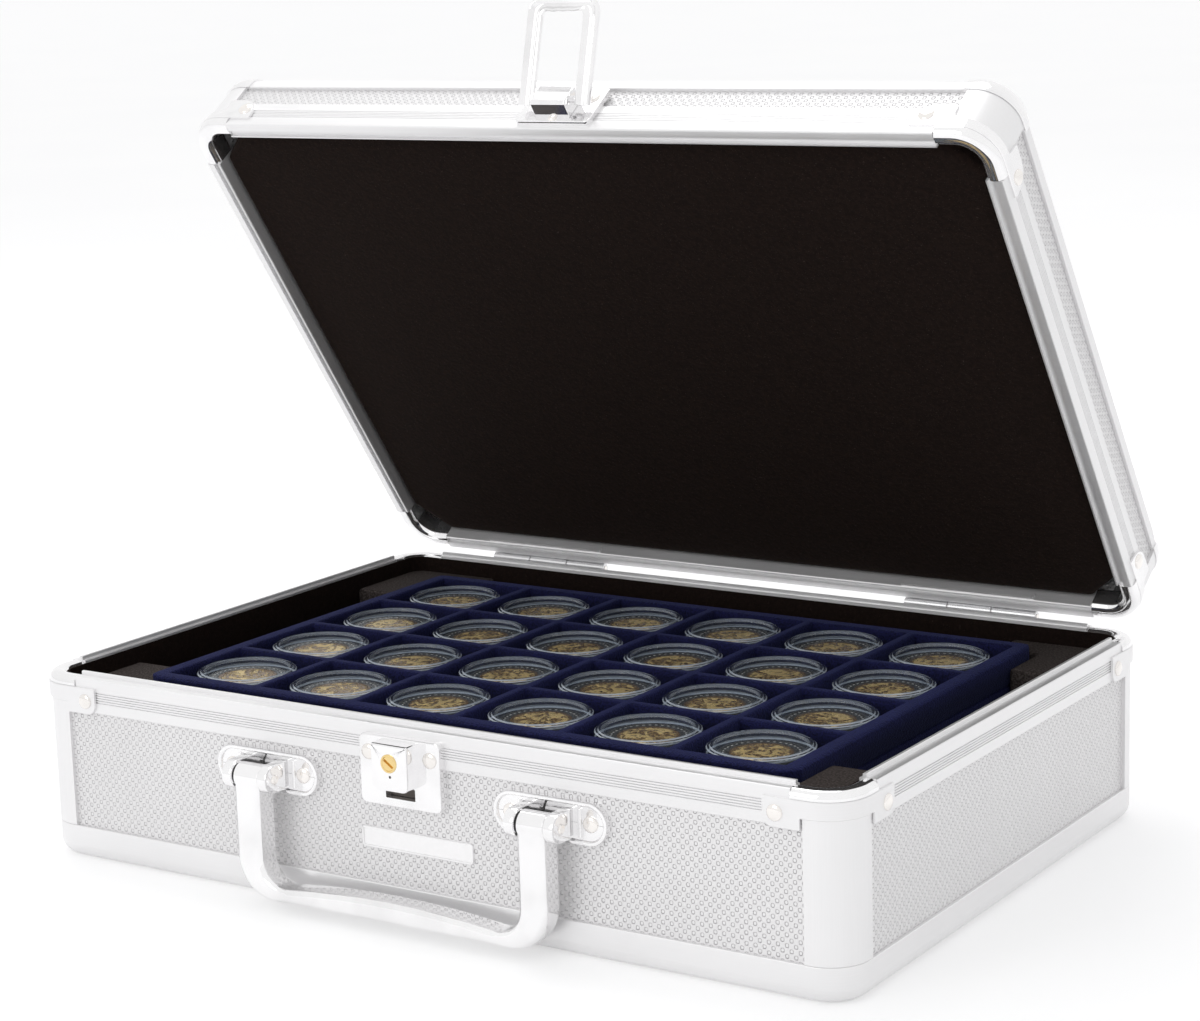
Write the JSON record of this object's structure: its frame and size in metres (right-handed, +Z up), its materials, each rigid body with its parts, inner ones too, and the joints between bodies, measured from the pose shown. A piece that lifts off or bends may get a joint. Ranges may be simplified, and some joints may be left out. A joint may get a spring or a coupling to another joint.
{
  "type": "coin display case",
  "caption": "Aluminium-framed case with a hinged padded lid, hasp lock and handle, holding stacked velour trays of square cells with coins in clear capsules.",
  "frame": {"origin": "on the floor, under the middle of the base", "axes": "+X to the right seen from the front and along the longest side, +Y to the back where the lid's hinges are, +Z up; the lock and handle face -Y"},
  "size_m": [0.2934, 0.2332, 0.2667],
  "materials": {
    "board": "satin",
    "aluminium": "satin",
    "chrome": "polished",
    "steel": "satin",
    "felt": "matte",
    "foam": "matte",
    "velour": "matte",
    "capsule": "gloss",
    "coin": "satin",
    "brass": "polished"
  },
  "bodies": {
    "base": {"base_panel_front": "board", "base_panel_back": "board", "base_panel_left": "board", "base_panel_right": "board", "base_bottom_panel": "board", "base_corner_posts": "aluminium", "base_corner_brackets": "aluminium", "base_bottom_trims": "aluminium", "base_bottom_corners": "aluminium", "base_rims": "aluminium", "base_rim_corners": "chrome", "base_rivets": "steel", "base_lining_floor": "felt", "base_lining_walls": "felt", "foam_corner_blocks": "foam", "lock_plate": "chrome", "lock_box": "chrome", "lock_rivets": "steel", "name_plate": "aluminium", "handle_mount_left": "chrome", "handle_mount_right": "chrome", "handle_mount_rivets": "steel", "handle_pins": "steel", "hinge_leaves_base": "steel", "hinge_pins": "steel", "hinge_rivets_base": "steel"},
    "lid": {"lid_panel_front": "board", "lid_panel_back": "board", "lid_panel_left": "board", "lid_panel_right": "board", "lid_top_panel": "board", "lid_corner_posts": "aluminium", "lid_edges": "aluminium", "lid_rims": "aluminium", "lid_rim_corners": "chrome", "lid_corner_caps": "chrome", "lid_corner_brackets": "chrome", "lid_rivets": "steel", "lid_pad": "felt", "hinge_leaves_lid": "steel", "hinge_rivets_lid": "steel", "hinge_backing_strips": "steel", "hasp_plate": "chrome", "hasp_block": "chrome", "hasp_rivets": "steel"},
    "hasp": {"hasp_loop": "chrome"},
    "key": {"key_plug": "brass", "lock_cam": "steel"},
    "handle": {"handle": "chrome"},
    "tray_1": {"tray_1": "velour"},
    "tray_2": {"tray_2": "velour"},
    "tray_3": {"tray_3": "velour"},
    "tray_4": {"tray_4": "velour"},
    "tray_5": {"tray_5": "velour"},
    "tray_6": {"tray_6": "velour", "capsule_bases": "capsule", "capsule_lids": "capsule", "coins": "coin"}
  },
  "joints": [
    {"name": "lid_hinge", "type": "hinge", "parent": "base", "child": "lid", "pos_m": [0, 0.1019, 0.06025], "axis": [-1, 0, 0], "range_deg": [-55, 45]},
    {"name": "hasp_swing", "type": "hinge", "parent": "lid", "child": "hasp", "pos_m": [0, -0.00996, 0.23438], "axis": [-1, 0, 0], "range_deg": [-139, 0]},
    {"name": "key_turn", "type": "hinge", "parent": "base", "child": "key", "pos_m": [0, -0.1, 0.051], "axis": [0, -1, 0], "range_deg": [0, 90]},
    {"name": "handle_swing", "type": "hinge", "parent": "base", "child": "handle", "pos_m": [0, -0.1075, 0.0404], "axis": [-1, 0, 0], "range_deg": [0, 95]},
    {"name": "tray_1_lift", "type": "slide", "parent": "base", "child": "tray_1", "axis": [0, 0, 1], "range_m": [0, 0.02]},
    {"name": "tray_2_lift", "type": "slide", "parent": "tray_1", "child": "tray_2", "axis": [0, 0, 1], "range_m": [0, 0.02]},
    {"name": "tray_3_lift", "type": "slide", "parent": "tray_2", "child": "tray_3", "axis": [0, 0, 1], "range_m": [0, 0.02]},
    {"name": "tray_4_lift", "type": "slide", "parent": "tray_3", "child": "tray_4", "axis": [0, 0, 1], "range_m": [0, 0.02]},
    {"name": "tray_5_lift", "type": "slide", "parent": "tray_4", "child": "tray_5", "axis": [0, 0, 1], "range_m": [0, 0.02]},
    {"name": "tray_6_lift", "type": "slide", "parent": "tray_5", "child": "tray_6", "axis": [0, 0, 1], "range_m": [0, 0.02]}
  ]
}
